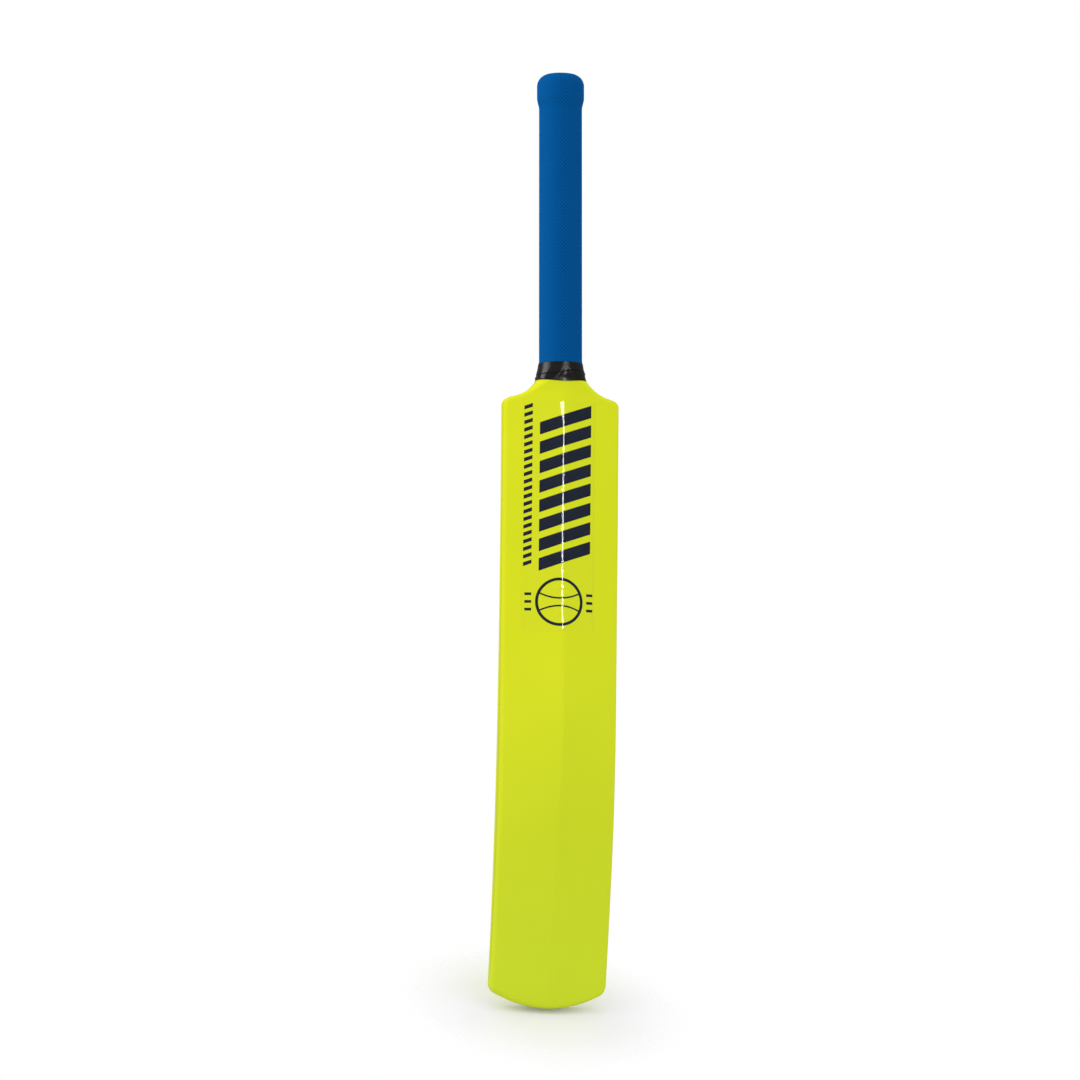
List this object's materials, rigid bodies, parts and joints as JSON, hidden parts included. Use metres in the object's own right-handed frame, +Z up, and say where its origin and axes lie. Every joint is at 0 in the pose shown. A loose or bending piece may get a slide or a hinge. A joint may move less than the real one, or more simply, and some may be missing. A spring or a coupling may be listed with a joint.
{
  "type": "cricket bat",
  "caption": "Full-size moulded plastic cricket bat: hollow bowed blade with a spined back, round handle with a ribbed rubber grip, taped neck and clear label.",
  "frame": {"origin": "on the floor at the toe's level, under the middle of the bat's bounding box; the handle's axis is about 20 mm behind it, on the -Y side", "axes": "+Z up the handle from toe to butt; +Y towards the flat striking face; -Y towards the spined back; +X to the right when the back is seen with the handle up"},
  "size_m": [0.1076, 0.0826, 0.8501],
  "materials": {
    "blade_plastic": "fluorescent yellow moulded plastic, satin to gloss",
    "core_wood": "plain turned hardwood, hidden inside the handle",
    "plug_plastic": "black moulded plastic",
    "grip_rubber": "blue rubber with fine chevron ribs",
    "tape_vinyl": "glossy black vinyl tape",
    "label_film": "clear glossy film with a plain dark blue stripe pattern"
  },
  "bodies": {
    "root": {"back_shell": "blade_plastic", "face_shell": "blade_plastic", "handle_core": "core_wood", "butt_plug": "plug_plastic", "grip": "grip_rubber", "neck_tape": "tape_vinyl", "back_label": "label_film"}
  },
  "joints": []
}
